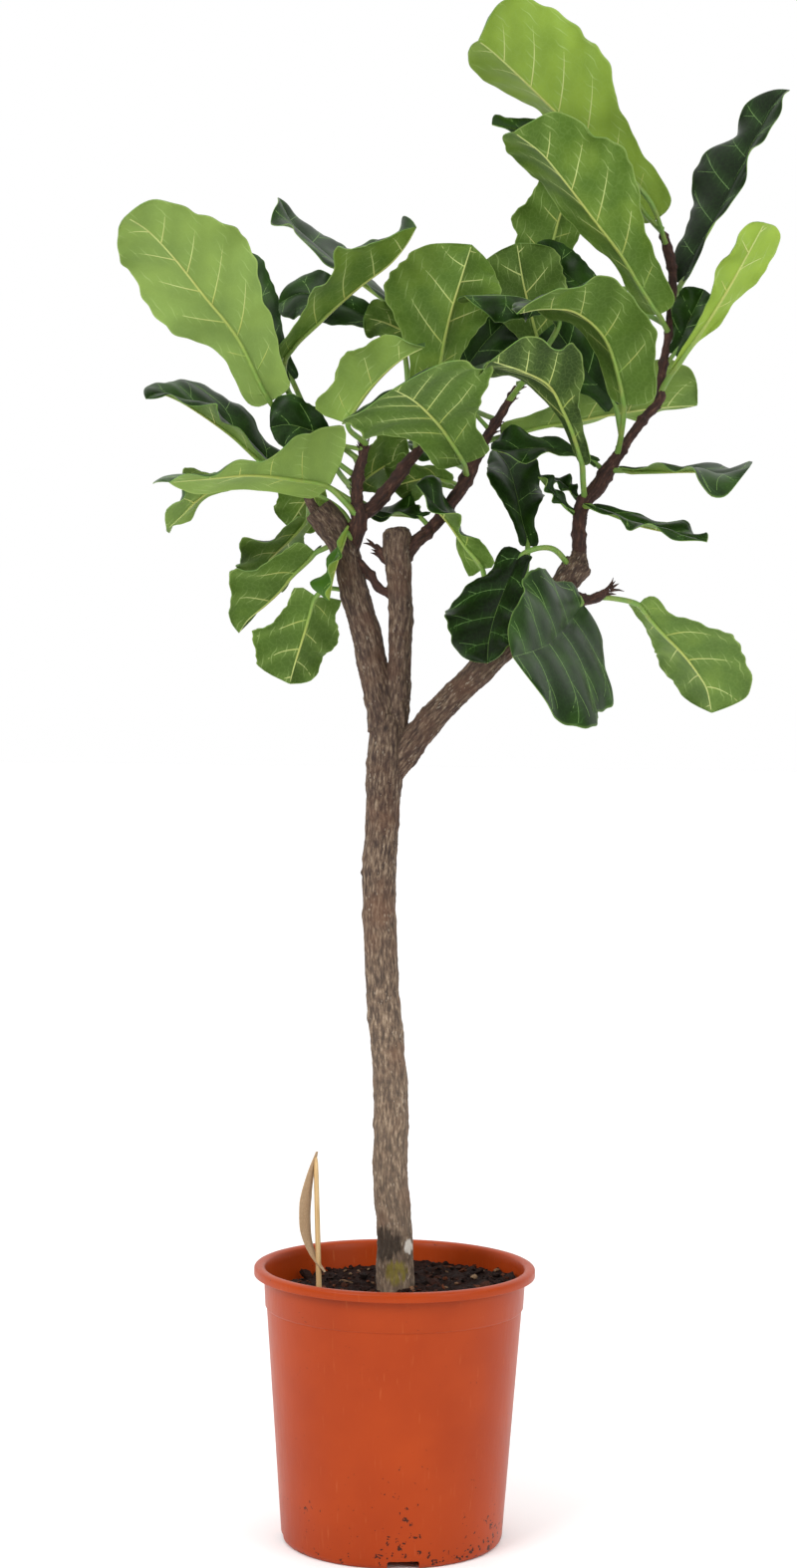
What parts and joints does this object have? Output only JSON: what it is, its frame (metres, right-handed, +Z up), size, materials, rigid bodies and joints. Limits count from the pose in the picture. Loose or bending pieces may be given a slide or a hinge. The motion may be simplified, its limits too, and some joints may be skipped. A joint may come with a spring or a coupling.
{
  "type": "potted fiddle leaf fig",
  "caption": "Small indoor fig tree with large fiddle-shaped leaves on a forked trunk, standing in a tapered plastic nursery pot of soil with a blank tag on a stick.",
  "frame": {"origin": "on the floor under the pot's axis, at the middle of the support boss under the pot's floor", "axes": "+Z up, the tree's longest extent; -Y towards the front, where the pot faces the viewer; +X to the viewer's right"},
  "size_m": [0.6516, 0.3888, 1.4656],
  "materials": {
    "pot_plastic": "semi-matt moulded plastic",
    "potting_soil": "loose peat and bark chips",
    "bark": "rough bark",
    "leaf": "waxy above, matt below",
    "bamboo": "smooth split bamboo",
    "kraft_card": "matt card"
  },
  "bodies": {
    "root": {"pot": "pot_plastic", "soil": "potting_soil", "trunk": "bark", "label_stick": "bamboo", "label_card": "kraft_card", "leaf_01": "leaf", "leaf_02": "leaf", "leaf_03": "leaf", "leaf_04": "leaf", "leaf_05": "leaf", "leaf_06": "leaf", "leaf_07": "leaf", "leaf_08": "leaf", "leaf_09": "leaf", "leaf_10": "leaf", "leaf_11": "leaf", "leaf_12": "leaf", "leaf_13": "leaf", "leaf_14": "leaf", "leaf_15": "leaf", "leaf_16": "leaf", "leaf_17": "leaf", "leaf_18": "leaf", "leaf_19": "leaf", "leaf_20": "leaf", "leaf_21": "leaf", "leaf_22": "leaf", "leaf_23": "leaf", "leaf_24": "leaf", "leaf_25": "leaf", "leaf_26": "leaf", "leaf_27": "leaf", "leaf_28": "leaf", "leaf_29": "leaf", "leaf_30": "leaf", "leaf_31": "leaf", "leaf_32": "leaf", "leaf_33": "leaf", "leaf_34": "leaf", "leaf_35": "leaf", "leaf_36": "leaf", "leaf_37": "leaf", "leaf_38": "leaf", "leaf_39": "leaf", "leaf_40": "leaf", "leaf_41": "leaf", "leaf_43": "leaf", "leaf_44": "leaf", "leaf_45": "leaf", "leaf_46": "leaf", "leaf_47": "leaf", "leaf_48": "leaf"}
  },
  "joints": []
}
